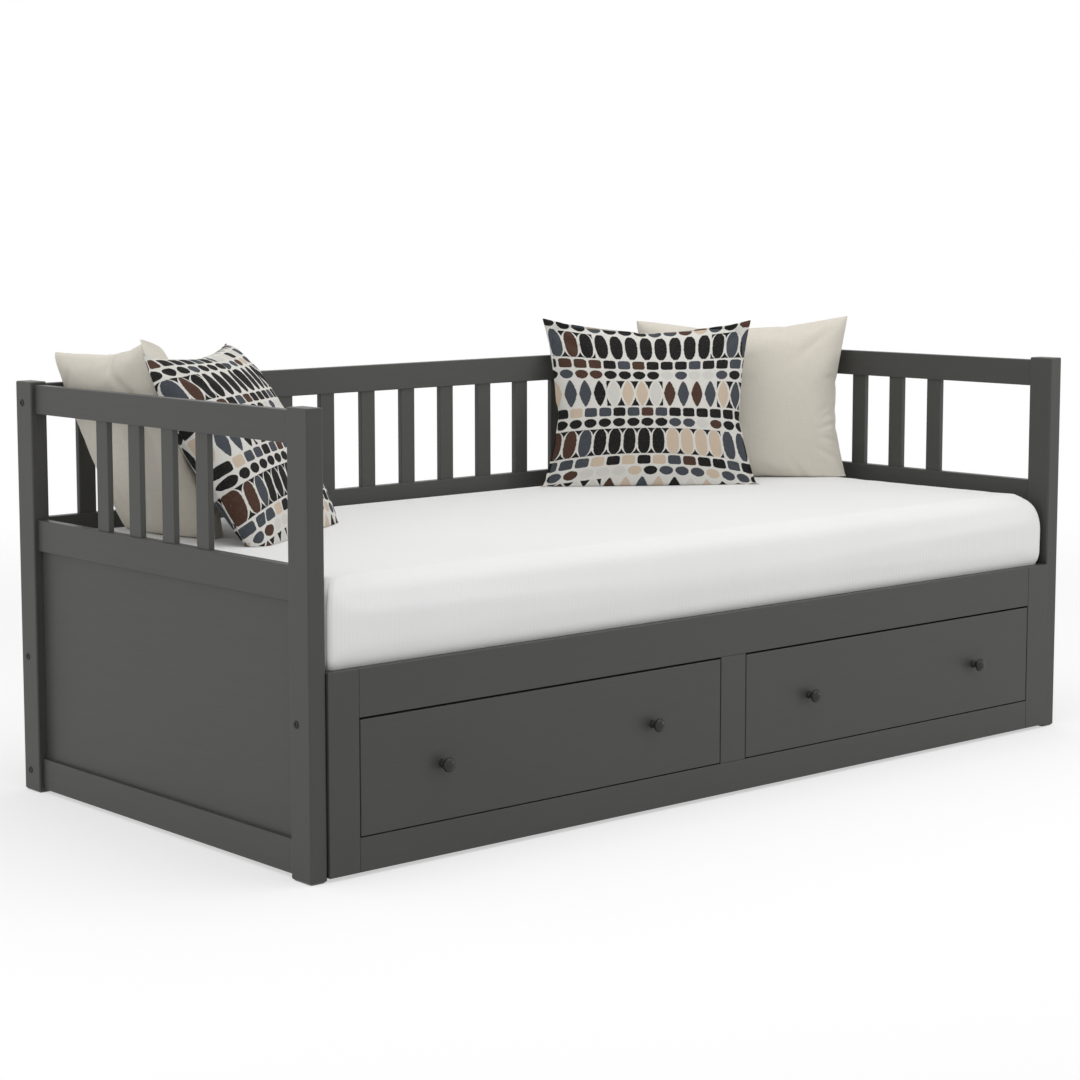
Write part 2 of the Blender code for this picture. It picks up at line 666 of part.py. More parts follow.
def press(point, planes):
    """Move a point out of the planes that it nears or lies behind, each (point, normal).

    Near a plane the distance to it falls off exponentially and never reaches zero, so
    cloth that is pressed flat keeps its order. A last pass puts right what one plane
    has pushed behind another.
    """
    for origin, normal in planes:
        distance = (point - origin).dot(normal)
        if distance < CUSHION_SOFTNESS:
            pressed = CUSHION_SOFTNESS * math.exp(distance / CUSHION_SOFTNESS - 1)
            point = point + normal * (pressed - distance)
    for origin, normal in planes:
        distance = (point - origin).dot(normal)
        point = point - normal * min(0.0, distance)
    return point


def cushion_cage(name, width, height, spread):
    """Return a square cushion's cage: crowned faces, drawn-in sides and sharp corners.

    Seen from the front the foot is wider than the top by the spread, a share of the width.
    """
    bm = bmesh.new()
    seam = bm.edges.layers.float.new("crease_edge")
    corner = bm.verts.layers.float.new("crease_vert")
    for face in (1, -1):
        sheet = bmesh.ops.create_grid(
            bm, x_segments=CUSHION_CELLS, y_segments=CUSHION_CELLS, size=1.0
        )["verts"]
        if face < 0:
            bmesh.ops.reverse_faces(bm, faces=list({f for vert in sheet for f in vert.link_faces}))
        for vert in sheet:
            u, v, _ = vert.co
            swell = max(0.0, (1 - u * u) * (1 - v * v)) ** CUSHION_CROWN_POWER
            spread_here = 1 + spread * ((1 - v) / 2) ** 2
            vert[corner] = 1.0 if abs(u * v) > 1 - MERGE_DISTANCE else 0.0
            vert.co = (
                width / 2 * u * (1 - CUSHION_DRAW_SHARE * (1 - v * v)) * spread_here,
                height / 2 * v * (1 - CUSHION_DRAW_SHARE * (1 - u * u)),
                face * CUSHION_THICKNESS / 2 * swell,
            )
    for edge in bm.edges:
        edge[seam] = 1.0 if edge.is_boundary else 0.0
    bmesh.ops.remove_doubles(bm, verts=bm.verts, dist=MERGE_DISTANCE)
    mesh = bpy.data.meshes.new(name)
    bm.to_mesh(mesh)
    bm.free()
    return mesh


def cushion(name, cage, place, planes, material):
    """Smooth a cushion's cage and press it flat at its place against what it rests on."""
    soft = smoothed(cage)
    to_local = place.inverted()
    for vert in soft.vertices:
        vert.co = to_local @ press(place @ vert.co, planes)
    soft.name = name
    soft.shade_smooth()
    item = add_object(name, soft, Vector(), material)
    item.matrix_world = place


def touch_plane(place, reach, turns, side):
    """Return the plane where two cushions meet, seen from before (1) or behind (-1) it."""
    normal = facing(*turns).col[2].to_3d()
    origin = place.translation + normal * (reach + side * SEAT_GAP / 2)
    return (origin, normal * side)


def cushions():
    """Make the four cushions: a plain one in each rear corner, a patterned one before it."""
    end_x = HALF_LENGTH - POST_WIDTH - SEAT_GAP
    back_y = BACK_RAIL_FRONT - SEAT_GAP - MIDDLE_DEPTH
    bed = (Vector((0.0, 0.0, MATTRESS_TOP + SEAT_GAP)), Vector((0.0, 0.0, 1.0)))
    rear = (Vector((0.0, back_y, 0.0)), Vector((0.0, -1.0, 0.0)))
    left = (Vector((-end_x, 0.0, 0.0)), Vector((1.0, 0.0, 0.0)))
    right = (Vector((end_x, 0.0, 0.0)), Vector((-1.0, 0.0, 0.0)))

    name = "cushion_plain_left"
    plain = cushion_place(
        -1, LEFT_PLAIN_FROM_END, LEFT_PLAIN_FROM_BACK, LEFT_PLAIN_HEIGHT, LEFT_PLAIN_TURNS
    )
    cage = cushion_cage(name, LEFT_PLAIN_WIDTH, LEFT_PLAIN_HEIGHT, LEFT_PLAIN_SPREAD_SHARE)
    touch = touch_plane(plain, LEFT_TOUCH_REACH, LEFT_TOUCH_TURNS, -1)
    cushion(name, cage, plain, [touch, left, rear, bed], BEIGE_CLOTH)

    name = "cushion_patterned_left"
    patterned = cushion_place(
        -1,
        LEFT_PATTERNED_FROM_END,
        LEFT_PATTERNED_FROM_BACK,
        LEFT_PATTERNED_HEIGHT,
        LEFT_PATTERNED_TURNS,
    )
    cage = cushion_cage(
        name, LEFT_PATTERNED_WIDTH, LEFT_PATTERNED_HEIGHT, LEFT_PATTERNED_SPREAD_SHARE
    )
    touch = touch_plane(plain, LEFT_TOUCH_REACH, LEFT_TOUCH_TURNS, 1)
    cushion(name, cage, patterned, [touch, left, rear, bed], PATTERNED_CLOTH)

    name = "cushion_plain_right"
    plain = cushion_place(
        1, RIGHT_PLAIN_FROM_END, RIGHT_PLAIN_FROM_BACK, RIGHT_PLAIN_HEIGHT, RIGHT_PLAIN_TURNS
    )
    cage = cushion_cage(name, RIGHT_PLAIN_WIDTH, RIGHT_PLAIN_HEIGHT, RIGHT_PLAIN_SPREAD_SHARE)
    touch = touch_plane(plain, RIGHT_TOUCH_REACH, RIGHT_TOUCH_TURNS, -1)
    cushion(name, cage, plain, [touch, right, rear, bed], BEIGE_CLOTH)

    name = "cushion_patterned_right"
    patterned = cushion_place(
        1,
        RIGHT_PATTERNED_FROM_END,
        RIGHT_PATTERNED_FROM_BACK,
        RIGHT_PATTERNED_HEIGHT,
        RIGHT_PATTERNED_TURNS,
    )
    cage = cushion_cage(
        name, RIGHT_PATTERNED_WIDTH, RIGHT_PATTERNED_HEIGHT, RIGHT_PATTERNED_SPREAD_SHARE
    )
    touch = touch_plane(plain, RIGHT_TOUCH_REACH, RIGHT_TOUCH_TURNS, 1)
    cushion(name, cage, patterned, [touch, right, rear, bed], PATTERNED_CLOTH)


end_panel("left", -1)
end_panel("right", 1)
back()
bed_rails()
front_frame()
for label, opening in (
    ("left", (-OPENING_OUTER, -OPENING_INNER)),
    ("right", (OPENING_INNER, OPENING_OUTER)),
):
    runner_side(f"{label}_1", opening[0], 1)
    runner_side(f"{label}_2", opening[1], -1)
    drawer(label, opening)
slatted_base()
mattress()
cushions()
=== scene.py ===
"""The looks of a storage daybed: grey painted boards, turned knobs, bed bolts, a soft
mattress and four stuffed cushions, seen from the front left in plain studio light.

Units are metres, +Z is up and the drawers face -Y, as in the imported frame.
"""

import json
import math

import bmesh
import bpy
import numpy as np
from mathutils import Matrix, Vector


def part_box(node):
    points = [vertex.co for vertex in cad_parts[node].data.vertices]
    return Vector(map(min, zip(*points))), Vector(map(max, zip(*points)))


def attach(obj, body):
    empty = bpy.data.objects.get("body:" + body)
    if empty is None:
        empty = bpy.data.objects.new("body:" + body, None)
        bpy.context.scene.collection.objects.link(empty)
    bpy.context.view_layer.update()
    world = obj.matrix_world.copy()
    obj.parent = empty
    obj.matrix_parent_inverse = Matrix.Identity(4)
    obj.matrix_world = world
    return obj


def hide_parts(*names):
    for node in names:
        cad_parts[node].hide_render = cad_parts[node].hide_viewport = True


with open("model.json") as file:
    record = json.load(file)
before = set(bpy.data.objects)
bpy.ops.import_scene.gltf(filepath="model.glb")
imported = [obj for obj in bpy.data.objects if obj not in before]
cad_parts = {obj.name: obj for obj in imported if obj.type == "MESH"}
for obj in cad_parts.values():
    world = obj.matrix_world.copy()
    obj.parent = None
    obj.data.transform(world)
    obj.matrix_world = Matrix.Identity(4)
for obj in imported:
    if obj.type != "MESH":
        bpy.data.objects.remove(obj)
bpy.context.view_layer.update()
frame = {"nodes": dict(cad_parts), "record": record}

# The bed's own sizes. Places along its depth are measured from the posts' front faces,
# and MIDDLE_DEPTH is the frame's origin there. SEAT_GAP is left where a cushion touches
HALF_LENGTH = 1.000
MIDDLE_DEPTH = 0.4496
POST_WIDTH = 0.035
BACK_RAIL_FRONT = 0.905
MATTRESS_TOP = 0.505
RAIL_TOP = 0.789
SEAT_GAP = 0.0003


class Value:
    """A shader node's output, on which arithmetic adds Math nodes."""

    def __init__(self, finish, socket):
        self.finish = finish
        self.socket = socket

    def math(self, operation, *others):
        """Return the result of a Math node that takes this value first."""
        inputs = dict(enumerate((self, *others)))
        return self.finish.node("ShaderNodeMath", {"operation": operation}, inputs)

    def reflected(self, operation, other):
        """Return the result of a Math node that takes this value second."""
        return self.finish.node("ShaderNodeMath", {"operation": operation}, {0: other, 1: self})

    def __add__(self, other):
        return self.math("ADD", other)

    def __radd__(self, other):
        return self.reflected("ADD", other)

    def __sub__(self, other):
        return self.math("SUBTRACT", other)

    def __rsub__(self, other):
        return self.reflected("SUBTRACT", other)

    def __mul__(self, other):
        return self.math("MULTIPLY", other)

    def __rmul__(self, other):
        return self.reflected("MULTIPLY", other)

    def __truediv__(self, other):
        return self.math("DIVIDE", other)

    def __rtruediv__(self, other):
        return self.reflected("DIVIDE", other)

    def step(self, low, high):
        """Return a smooth step from 0 at low to 1 at high."""
        return self.finish.node(
            "ShaderNodeMapRange",
            {"interpolation_type": "SMOOTHSTEP"},
            {"Value": self, "From Min": low, "From Max": high},
        )


class Finish:
    """A material under construction, or a world, with its node tree."""

    def __init__(self, name, world=None):
        if world is None:
            self.material = bpy.data.materials.new(name)
            holder = self.material
        else:
            holder = world
        holder.use_nodes = True
        self.tree = holder.node_tree
        self.tree.nodes.clear()

    def node(self, kind, settings, inputs, output=0):
        """Add a node: its type, its settings, then its sockets; return one output."""
        node = self.tree.nodes.new(kind)
        for key, value in settings.items():
            if key == "stops":
                elements = node.color_ramp.elements
                while len(elements) < len(value):
                    elements.new(1.0)
                for element, (position, color) in zip(elements, value):
                    element.position = position
                    element.color = (*color, 1.0)
            elif key == "ramp_interpolation":
                node.color_ramp.interpolation = value
            else:
                setattr(node, key, value)
        for key, value in inputs.items():
            if isinstance(value, Value):
                self.tree.links.new(value.socket, node.inputs[key])
            else:
                node.inputs[key].default_value = value
        if not len(node.outputs):
            return None
        return Value(self, node.outputs[output])

    def point(self, scale=(1.0, 1.0, 1.0)):
        """Return the object's own coordinates, stretched by a scale."""
        place = self.node("ShaderNodeTexCoord", {}, {}, "Object")
        return self.node("ShaderNodeMapping", {}, {"Vector": place, "Scale": scale})

    def uv(self):
        """Return the two coordinates of the piece's own map."""
        place = self.node("ShaderNodeTexCoord", {}, {}, "UV")
        return self.split(place)

    def split(self, vector):
        """Return the three values of a vector."""
        first = self.node("ShaderNodeSeparateXYZ", {}, {0: vector})
        node = first.socket.node
        return first, Value(self, node.outputs[1]), Value(self, node.outputs[2])

    def join(self, x, y, z):
        """Return a vector of three values."""
        return self.node("ShaderNodeCombineXYZ", {}, {0: x, 1: y, 2: z})

    def noise(self, vector, scale, detail=2.0, roughness=0.5):
        """Return soft noise about one half."""
        inputs = {"Vector": vector, "Scale": scale, "Detail": detail, "Roughness": roughness}
        return self.node("ShaderNodeTexNoise", {}, inputs)

    def chance(self, x, y, z):
        """Return an even random value for a cell."""
        inputs = {"Vector": self.join(x, y, z)}
        return self.node("ShaderNodeTexWhiteNoise", {"noise_dimensions": "3D"}, inputs)

    def mix(self, factor, first, second):
        """Return a colour between two."""
        inputs = {0: factor}
        for index, color in ((6, first), (7, second)):
            inputs[index] = color if isinstance(color, Value) else (*color, 1.0)
        return self.node("ShaderNodeMix", {"data_type": "RGBA"}, inputs, 2)

    def bump(self, height, distance, normal=None):
        """Return a normal raised by a height of 0 to 1 over a distance in metres."""
        inputs = {"Height": height, "Distance": distance, "Strength": 1.0}
        if normal is not None:
            inputs["Normal"] = normal
        return self.node("ShaderNodeBump", {}, inputs)

    def shade(self, color, roughness, normal=None, constants=None):
        """Close the material with a Principled shader and return it."""
        inputs = {"Roughness": roughness, **(constants or {})}
        inputs["Base Color"] = color if isinstance(color, Value) else (*color, 1.0)
        if normal is not None:
            inputs["Normal"] = normal
        shader = self.node("ShaderNodeBsdfPrincipled", {}, inputs)
        self.node("ShaderNodeOutputMaterial", {}, {"Surface": shader})
        return self.material


def stretched(grain_axis, share):
    """Return a scale that draws a texture out along the grain, to a share of its rate."""
    scale = [1.0, 1.0, 1.0]
    scale[grain_axis] = share
    return scale


def grey_paint(grain_axis):
    """Return satin grey paint on wood whose grain runs along one axis."""
    finish = Finish(f"grey paint, grain along {'XYZ'[grain_axis]}")
    grain = finish.noise(finish.point(stretched(grain_axis, 0.035)), 260.0, 4.0, 0.6)
    cloud = finish.noise(finish.point(), 5.0, 3.0)
    peel = finish.noise(finish.point(), 700.0, 1.0)
    shade = finish.mix(cloud, (0.0510, 0.0510, 0.0472), (0.0595, 0.0595, 0.0552))
    shade = finish.mix(grain.step(0.35, 0.70) * 0.20, shade, (0.044, 0.044, 0.041))
    normal = finish.bump(grain, 0.00014)
    normal = finish.bump(peel, 0.00007, normal)
    roughness = 0.34 + cloud * 0.14 + grain * 0.06
    return finish.shade(shade, roughness, normal, {"Specular IOR Level": 0.32})


def knob_paint():
    """Return the knobs' smoother, darker paint."""
    finish = Finish("knob paint")
    cloud = finish.noise(finish.point(), 90.0, 3.0)
    shade = finish.mix(cloud, (0.018, 0.018, 0.017), (0.026, 0.026, 0.025))
    normal = finish.bump(cloud, 0.00012)
    return finish.shade(shade, 0.26 + cloud * 0.12, normal, {"Specular IOR Level": 0.30})


# How many half waves the growth rings run through over the range of their noise
RING_COUNT = 18.0


def bare_wood(grain_axis):
    """Return planed softwood: growth rings cut along one axis, fine pores and soft knots."""
    finish = Finish(f"bare wood, grain along {'XYZ'[grain_axis]}")
    place = finish.point(stretched(grain_axis, 0.045))
    swirl = finish.noise(place, 14.0, 3.0)
    rings = (swirl * RING_COUNT * math.pi).math("SINE") * 0.5 + 0.5
    pores = finish.noise(place, 620.0, 3.0, 0.7)
    tone = finish.noise(finish.point(), 3.0, 2.0)
    shade = finish.mix(rings.step(0.45, 1.0), (0.66, 0.49, 0.31), (0.50, 0.32, 0.165))
    shade = finish.mix(pores.step(0.50, 0.85) * 0.35, shade, (0.40, 0.25, 0.125))
    shade = finish.mix(tone * 0.35, shade, (0.72, 0.56, 0.38))
    normal = finish.bump(pores * 0.5 + rings * 0.25, 0.00025)
    return finish.shade(shade, 0.55 + rings * 0.10, normal)


def bolt_metal():
    """Return the bolts' dark, worn metal."""
    finish = Finish("bolt metal")
    wear = finish.noise(finish.point(), 420.0, 3.0)
    shade = finish.mix(wear, (0.005, 0.005, 0.005), (0.015, 0.0145, 0.014))
    return finish.shade(shade, 0.34 + wear * 0.20, None, {"Specular IOR Level": 0.25})


# Pitches of threads and ribs, and the heights between which ribs give way to knit
BEIGE_PITCH = 0.0011
PRINT_PITCH = 0.0012
KNIT_PITCH = 0.0016
RIB_PITCH = 0.0085
SIDE_CLOTH_ENDS = (0.135, 0.175)

# The printed cloth: its columns and bands, the half width and half height of its shapes in
# columns and bands, the leaf's narrowing instead of its height, the measures where a shape
# ends and a wedge begins, and the random value where each colour begins
COLUMNS_PER_METRE = 27.5
BANDS_PER_METRE = 24.0
TALL_BAND_SWING = 0.32
TALL_BAND_PHASE = 2.094
BLOCK_COLUMNS = 4.0
LEAF_WIDTH, LEAF_NARROWING = 0.49, 1.45
LOZENGE_WIDTH, LOZENGE_HEIGHT = 0.50, 0.62
BEAD_WIDTH, BEAD_HEIGHT = 0.47, 0.43
BRICK_WIDTH, BRICK_HEIGHT, BRICK_POWER = 0.44, 0.42, 5.0
SHAPE_END = (0.81, 0.89)
WEDGE_START = (1.10, 1.18)
BAND_END = (0.462, 0.482)
BEAD_BAND_TRIM = 0.02
PRINT_COLOURS = [
    (0.0, (0.011, 0.0105, 0.010)),
    (0.44, (0.058, 0.066, 0.078)),
    (0.56, (0.070, 0.036, 0.024)),
    (0.66, (0.560, 0.455, 0.350)),
    (0.71, (0.011, 0.0105, 0.010)),
    (0.79, (0.600, 0.585, 0.545)),
]


def threads(finish, u, v, pitch):
    """Return the height of a plain weave with threads at a pitch, from two distances."""
    rate = math.pi / pitch
    warp = (u * rate).math("SINE").math("ABSOLUTE")
    weft = (v * rate).math("SINE").math("ABSOLUTE")
    over = ((u * rate).math("COSINE") * (v * rate).math("COSINE")) * 0.5 + 0.5
    return warp * over + weft * (1.0 - over)


def ticking():
    """Return white ticking: a fine knit, and ribs that run up the mattress's sides; painted
    shade darkens the ribs and soft vertical folds there.
    """
    finish = Finish("white ticking")
    along, height = finish.uv()[:2]
    x, y, _ = finish.split(finish.point())
    side = 1.0 - height.step(*SIDE_CLOTH_ENDS)
    rib = (along * (2 * math.pi / RIB_PITCH)).math("SINE") * 0.5 + 0.5
    knit = threads(finish, x, y, KNIT_PITCH)
    fold_waves = finish.noise(finish.join(along * 9.0, height * 1.2, 0.0), 1.0, 3.0)
    cloud = finish.noise(finish.point(), 2.5, 2.0)
    shade = finish.mix(cloud, (0.735, 0.735, 0.730), (0.775, 0.775, 0.770))
    # Painted shade: the side darkens along each rib, standing in for shade in the ribs' relief
    shade = finish.mix(side * rib * 0.05, shade, (0.64, 0.645, 0.645))
    # Painted shade: soft vertical bands on the side darken where its folds would lie in shade
    shade = finish.mix(side * fold_waves.step(0.35, 0.75) * 0.10, shade, (0.66, 0.665, 0.665))
    normal = finish.bump(knit * (1.0 - side), 0.00025)
    normal = finish.bump(rib * side, 0.00018, normal)
    normal = finish.bump(fold_waves * side, 0.0022, normal)
    return finish.shade(shade, 0.88, normal, {"Sheen Weight": 0.08})


def plain_cloth():
    """Return plain beige cotton with uneven threads."""
    finish = Finish("beige cotton")
    u, v, _ = finish.uv()
    weave = threads(finish, u, v, BEIGE_PITCH)
    fine, long = 900.0, 30.0
    warp = finish.noise(finish.join(u * fine, v * long, 0.0), 1.0, 2.0)
    weft = finish.noise(finish.join(u * long, v * fine, 3.0), 1.0, 2.0)
    cloud = finish.noise(finish.join(u * 9.0, v * 9.0, 7.0), 1.0, 3.0)
    slub = warp * 0.5 + weft * 0.5
    shade = finish.mix(slub.step(0.30, 0.70), (0.630, 0.590, 0.508), (0.695, 0.653, 0.568))
    shade = finish.mix(cloud * 0.25, shade, (0.615, 0.583, 0.515))
    normal = finish.bump(weave, 0.00030)
    normal = finish.bump(slub, 0.00035, normal)
    return finish.shade(shade, 0.90, normal, {"Sheen Weight": 0.12})


def patterned_cloth():
    """Return dark printed cotton with bands of leaves, lozenges, beads and blocks.

    The bands go by threes: a tall one, where the height's phase runs slowly, and two low
    ones. A tall band holds leaves or lozenges, with dark wedges between them; a low one
    holds beads or blocks. Thin pale lines part all shapes. A shape's colour comes from a
    random value of its block of columns and from its own.
    """
    finish = Finish("patterned cotton")
    u, v, _ = finish.uv()
    waver = finish.noise(finish.join(u * 170.0, v * 170.0, 0.0), 1.0, 2.0) - 0.5
    x = u * COLUMNS_PER_METRE + waver * 0.09
    phase = v * BANDS_PER_METRE + waver * 0.05
    y = phase + (phase * (2 * math.pi / 3) + TALL_BAND_PHASE).math("SINE") * TALL_BAND_SWING
    row = y.math("FLOOR")
    across = x + finish.chance(row, 5.0, 1.0)
    column = across.math("FLOOR")
    block = (across / BLOCK_COLUMNS).math("FLOOR")
    from_side = (across.math("FRACT") - 0.5).math("ABSOLUTE")
    from_middle = (y.math("FRACT") - 0.5).math("ABSOLUTE")

    kind = (row / 3.0).math("FRACT")
    is_tall = 1.0 - kind.step(0.16, 0.17)
    is_block = kind.step(0.50, 0.51)
    is_bead = (1.0 - is_tall) * (1.0 - is_block)
    is_leaf = (row / 6.0).math("FRACT").step(0.40, 0.41)

    # How far a point lies from its shape's middle: 1 on the outline
    leaf = from_side / (LEAF_WIDTH - from_middle * from_middle * LEAF_NARROWING)
    lozenge = from_side / LOZENGE_WIDTH + from_middle / LOZENGE_HEIGHT
    tall = leaf * is_leaf + lozenge * (1.0 - is_leaf)
    bead = ((from_side / BEAD_WIDTH).math("POWER", 2.0)
            + (from_middle / BEAD_HEIGHT).math("POWER", 2.0))
    brick = ((from_side / BRICK_WIDTH).math("POWER", BRICK_POWER)
             + (from_middle / BRICK_HEIGHT).math("POWER", BRICK_POWER))
    measure = tall * is_tall + bead * is_bead + brick * is_block
    band_end = (limit - is_bead * BEAD_BAND_TRIM for limit in BAND_END)
    inside_band = 1.0 - from_middle.step(*band_end)
    shape = (1.0 - measure.step(*SHAPE_END)) * inside_band
    wedge = measure.step(*WEDGE_START) * is_tall * inside_band

    pick = finish.chance(block, row, 2.0) * 0.60 + finish.chance(column, row, 3.0) * 0.40
    thread = finish.noise(finish.join(u * 1100.0, v * 120.0, 0.0), 1.0, 2.0)
    ramp = {"stops": PRINT_COLOURS, "ramp_interpolation": "CONSTANT"}
    colour = finish.node("ShaderNodeValToRGB", ramp, {0: pick})
    colour = finish.mix(thread.step(0.55, 0.75) * 0.18, colour, (0.30, 0.29, 0.28))
    ground = finish.mix(thread, (0.60, 0.585, 0.545), (0.72, 0.705, 0.665))
    dark = finish.mix(thread, (0.007, 0.007, 0.007), (0.018, 0.017, 0.017))
    open_wedge = finish.chance(block, row, 7.0).step(0.38, 0.39)
    shade = finish.mix(wedge * (1.0 - open_wedge), ground, dark)
    shade = finish.mix(shape, shade, colour)
    normal = finish.bump(threads(finish, u, v, PRINT_PITCH), 0.00035)
    normal = finish.bump(shape, 0.00025, normal)
    return finish.shade(shade, 0.90, normal, {"Specular IOR Level": 0.18})


GREY = [grey_paint(axis) for axis in range(3)]
WOOD = [bare_wood(axis) for axis in range(3)]
KNOB = knob_paint()
METAL = bolt_metal()
TICKING = ticking()
BEIGE = plain_cloth()
PATTERNED = patterned_cloth()


def add_object(name, data):
    """Link a new object into the scene and return it."""
    item = bpy.data.objects.new(name, data)
    bpy.context.scene.collection.objects.link(item)
    return item


def points_of(mesh):
    """Return a mesh's points."""
    points = np.empty(len(mesh.vertices) * 3)
    mesh.vertices.foreach_get("co", points)
    return points.reshape(-1, 3)


def set_points(item, points):
    """Move a mesh's points."""
    item.data.vertices.foreach_set("co", points.ravel().astype(np.float32))
    item.data.update()


def grid_quads(rows, columns, wrap=False):
    """Return the quads of a grid of points kept row by row, joined round if wrap is set."""
    line = np.arange(columns)
    after = (line + 1) % columns
    if not wrap:
        line, after = line[:-1], after[:-1]
    low = np.arange(rows - 1)[:, None] * columns
    corners = [low + line, low + after, low + columns + after, low + columns + line]
    return np.stack(corners, axis=-1).reshape(-1, 4)


# Points that lie nearer to each other than this become one
DOUBLES_DISTANCE = 0.000002


def piece(name, points, faces, material, body, maps=None):
    """Make a smooth piece of points and faces that rides on a body.

    maps gives each point its place on the piece's own map.
    """
    mesh = bpy.data.meshes.new(name)
    mesh.from_pydata(points.tolist(), [], faces.tolist())
    if maps is not None:
        loops = np.empty(len(mesh.loops), dtype=np.int32)
        mesh.loops.foreach_get("vertex_index", loops)
        layer = mesh.uv_layers.new(name="cloth")
        layer.data.foreach_set("uv", maps[loops].ravel().astype(np.float32))
    bm = bmesh.new()
    bm.from_mesh(mesh)
    bmesh.ops.remove_doubles(bm, verts=bm.verts, dist=DOUBLES_DISTANCE)
    bmesh.ops.recalc_face_normals(bm, faces=bm.faces)
    bm.to_mesh(mesh)
    bm.free()
    mesh.shade_smooth()
    mesh.materials.append(material)
    item = add_object(name, mesh)
    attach(item, body)
    return item


def ring_round(outward, steps):
    """Return an axis, even angles round it, and the directions that lie at them."""
    outward = np.array(outward, dtype=float)
    first = np.array([outward[1], outward[2], outward[0]])
    second = np.cross(outward, first)
    angle = np.linspace(0, 2 * np.pi, steps, endpoint=False)
    return outward, angle, np.cos(angle)[:, None] * first + np.sin(angle)[:, None] * second


def turned(profile, centre, outward, steps):
    """Return the points and faces of a lathed form.

    Each profile point is (radius, height above centre along outward); it goes round the
    axis at even angles, as radius times the cosine and sine along two cross directions.
    """
    outward, _, ring = ring_round(outward, steps)
    radius, height = np.array(profile).T
    points = radius[:, None, None] * ring[None] + height[:, None, None] * outward
    return (points + np.array(centre)).reshape(-1, 3), grid_quads(len(profile), steps, wrap=True)


def dress_boards():
    """Give every rigid node of the frame its paint or wood, grain along its length."""
    slots = {part["node"]: part["material_slot"] for part in frame["record"]["subparts"]}
    for node, item in frame["nodes"].items():
        low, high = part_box(node)
        axis = int(np.argmax(np.array(high) - np.array(low)))
        kinds = {"grey_paint": GREY[axis], "bare_wood": WOOD[axis], "knob_paint": KNOB}
        if slots.get(node) in kinds:
            item.data.materials.clear()
            item.data.materials.append(kinds[slots[node]])


def knob_outline():
    """Return a knob's outline: a domed head with a rounded rim, a waisted stem and a foot."""
    head, depth, reach = 0.0130, 0.0135, 0.0265
    stem, foot, foot_height, chamfer = 0.0055, 0.0075, 0.0028, 0.0006
    rim = depth * 0.30
    dome = depth - rim
    up = np.linspace(np.pi / 2, 0, 18)
    points = list(zip(head * np.cos(up), reach - dome + dome * np.sin(up)))
    down = np.linspace(0, np.pi / 2, 10)[1:]
    under = reach - depth
    points += list(zip(stem + (head - stem) * np.cos(down), under + rim * (1 - np.sin(down))))
    flare = np.linspace(0, 1, 12)[1:]
    neck = stem + (foot - stem) * flare ** 3
    points += list(zip(neck, under - (under - foot_height) * flare))
    points += [(foot, chamfer), (foot - chamfer, 0.0), (0.0, 0.0)]
    return points


def knobs():
    """Replace the four knobs of the frame by finely turned ones."""
    for side in ("left", "right"):
        for hand in ("left", "right"):
            node = f"drawer_{side}_knob_{hand}"
            low, high = (np.array(corner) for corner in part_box(node))
            centre = (low + high) / 2
            centre[1] = high[1]
            points, faces = turned(knob_outline(), centre, (0, -1, 0), 64)
            item = piece(f"{node}_turned", points, faces, KNOB, f"drawer_{side}")
            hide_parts(node)


# A bed bolt's head: a low chamfered button, from its face to its hidden underside, as
# (radius, height), then its hexagon socket and how far the socket's floor lies out
BOLT_OUTLINE = [
    (0.0056, 0.0011),
    (0.0066, 0.0008),
    (0.0070, 0.0002),
    (0.0070, -0.0004),
    (0.0, -0.0004),
]
BOLT_STEPS = 48
SOCKET_HALF_WIDTH = 0.0028
SOCKET_FLOOR = 0.0001
BOLT_STANDS_OFF = 0.00005

# Each bolt's place on its post's outer face: from the front, and above the floor
BOLT_PLACES = (
    ("front", 0.036, 0.268),
    ("rear_top", 0.908, 0.754),
    ("rear_middle", 0.908, 0.264),
    ("rear_low", 0.908, 0.041),
)


def bolt(name, centre, outward):
    """Make one bolt head with a hexagon socket.

    The head is lathed. In the socket's rings the radius follows a hexagon, which is the
    socket's half width divided by the cosine of the angle to the nearest flat.
    """
    points, _ = turned(BOLT_OUTLINE, centre, outward, BOLT_STEPS)
    outward, angle, ring = ring_round(outward, BOLT_STEPS)
    to_flat = (angle + np.pi / 6) % (np.pi / 3) - np.pi / 6
    hexagon = SOCKET_HALF_WIDTH / np.cos(to_flat)
    rows = []
    for share, height in ((0.0, SOCKET_FLOOR), (0.98, SOCKET_FLOOR), (1.0, BOLT_OUTLINE[0][1])):
        rows.append(np.array(centre) + (hexagon * share)[:, None] * ring + height * outward)
    points = np.concatenate([np.concatenate(rows), points])
    faces = grid_quads(len(points) // BOLT_STEPS, BOLT_STEPS, wrap=True)
    piece(name, points, faces, METAL, "bed")


def bolts():
    """Set the bed bolts into the posts' outer faces."""
    for label, side in (("left", -1), ("right", 1)):
        for place, y, z in BOLT_PLACES:
            centre = (side * (HALF_LENGTH + BOLT_STANDS_OFF), y - MIDDLE_DEPTH, z)
            bolt(f"bolt_{place}_{label}", centre, (side, 0, 0))


